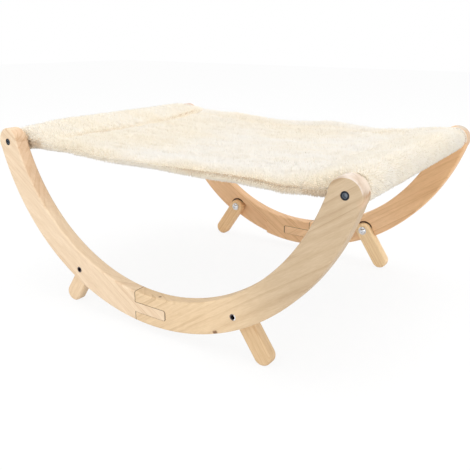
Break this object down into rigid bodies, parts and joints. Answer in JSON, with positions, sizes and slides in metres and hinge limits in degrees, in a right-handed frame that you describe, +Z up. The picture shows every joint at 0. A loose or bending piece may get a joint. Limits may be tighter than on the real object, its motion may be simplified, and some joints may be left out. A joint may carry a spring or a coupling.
{
  "type": "cat hammock",
  "caption": "Low pet hammock: plush sling on cross rods between crescent wooden side arcs, with short legs that fold into the arcs so that the bed can stand or rock.",
  "frame": {"origin": "on the floor, under the middle of the hammock, when it stands on its legs", "axes": "+X along the side arcs, towards the right; +Y towards the rear; +Z up"},
  "size_m": [0.502, 0.38, 0.2243],
  "materials": {
    "pine_front": "sanded clear pine, pale and warm",
    "pine_rear": "sanded clear pine, a little darker",
    "pine_leg": "sanded clear pine with rounded edges",
    "black_steel": "black oxide",
    "zinc_steel": "bright zinc plate",
    "plush": "cream short-pile plush"
  },
  "bodies": {
    "frame": {"front_left_arc": "pine_front", "front_left_leg_screw": "zinc_steel", "front_left_leg_washer": "zinc_steel", "front_left_leg_insert": "zinc_steel", "front_left_rod_bolt": "black_steel", "front_left_rod_insert": "zinc_steel", "front_right_arc": "pine_front", "front_right_leg_screw": "zinc_steel", "front_right_leg_washer": "zinc_steel", "front_right_leg_insert": "zinc_steel", "front_right_rod_bolt": "black_steel", "front_right_rod_insert": "zinc_steel", "rear_left_arc": "pine_rear", "rear_left_leg_screw": "zinc_steel", "rear_left_leg_washer": "zinc_steel", "rear_left_leg_insert": "zinc_steel", "rear_left_rod_bolt": "black_steel", "rear_left_rod_insert": "zinc_steel", "rear_right_arc": "pine_rear", "rear_right_leg_screw": "zinc_steel", "rear_right_leg_washer": "zinc_steel", "rear_right_leg_insert": "zinc_steel", "rear_right_rod_bolt": "black_steel", "rear_right_rod_insert": "zinc_steel", "left_rod": "pine_front", "right_rod": "pine_front", "left_sleeve": "plush", "right_sleeve": "plush", "sling_top": "plush", "sling_underside": "plush"},
    "leg_front_left": {"front_left_leg": "pine_leg"},
    "leg_front_right": {"front_right_leg": "pine_leg"},
    "leg_rear_left": {"rear_left_leg": "pine_leg"},
    "leg_rear_right": {"rear_right_leg": "pine_leg"}
  },
  "joints": [
    {"name": "fold_front_left", "type": "hinge", "parent": "frame", "child": "leg_front_left", "pos_m": [-0.117, -0.172, 0.05386], "axis": [0, -1, 0], "range_deg": [0, 101]},
    {"name": "fold_front_right", "type": "hinge", "parent": "frame", "child": "leg_front_right", "pos_m": [0.117, -0.172, 0.05386], "axis": [0, 1, 0], "range_deg": [0, 101]},
    {"name": "fold_rear_left", "type": "hinge", "parent": "frame", "child": "leg_rear_left", "pos_m": [-0.117, 0.172, 0.05386], "axis": [0, -1, 0], "range_deg": [0, 101]},
    {"name": "fold_rear_right", "type": "hinge", "parent": "frame", "child": "leg_rear_right", "pos_m": [0.117, 0.172, 0.05386], "axis": [0, 1, 0], "range_deg": [0, 101]}
  ]
}
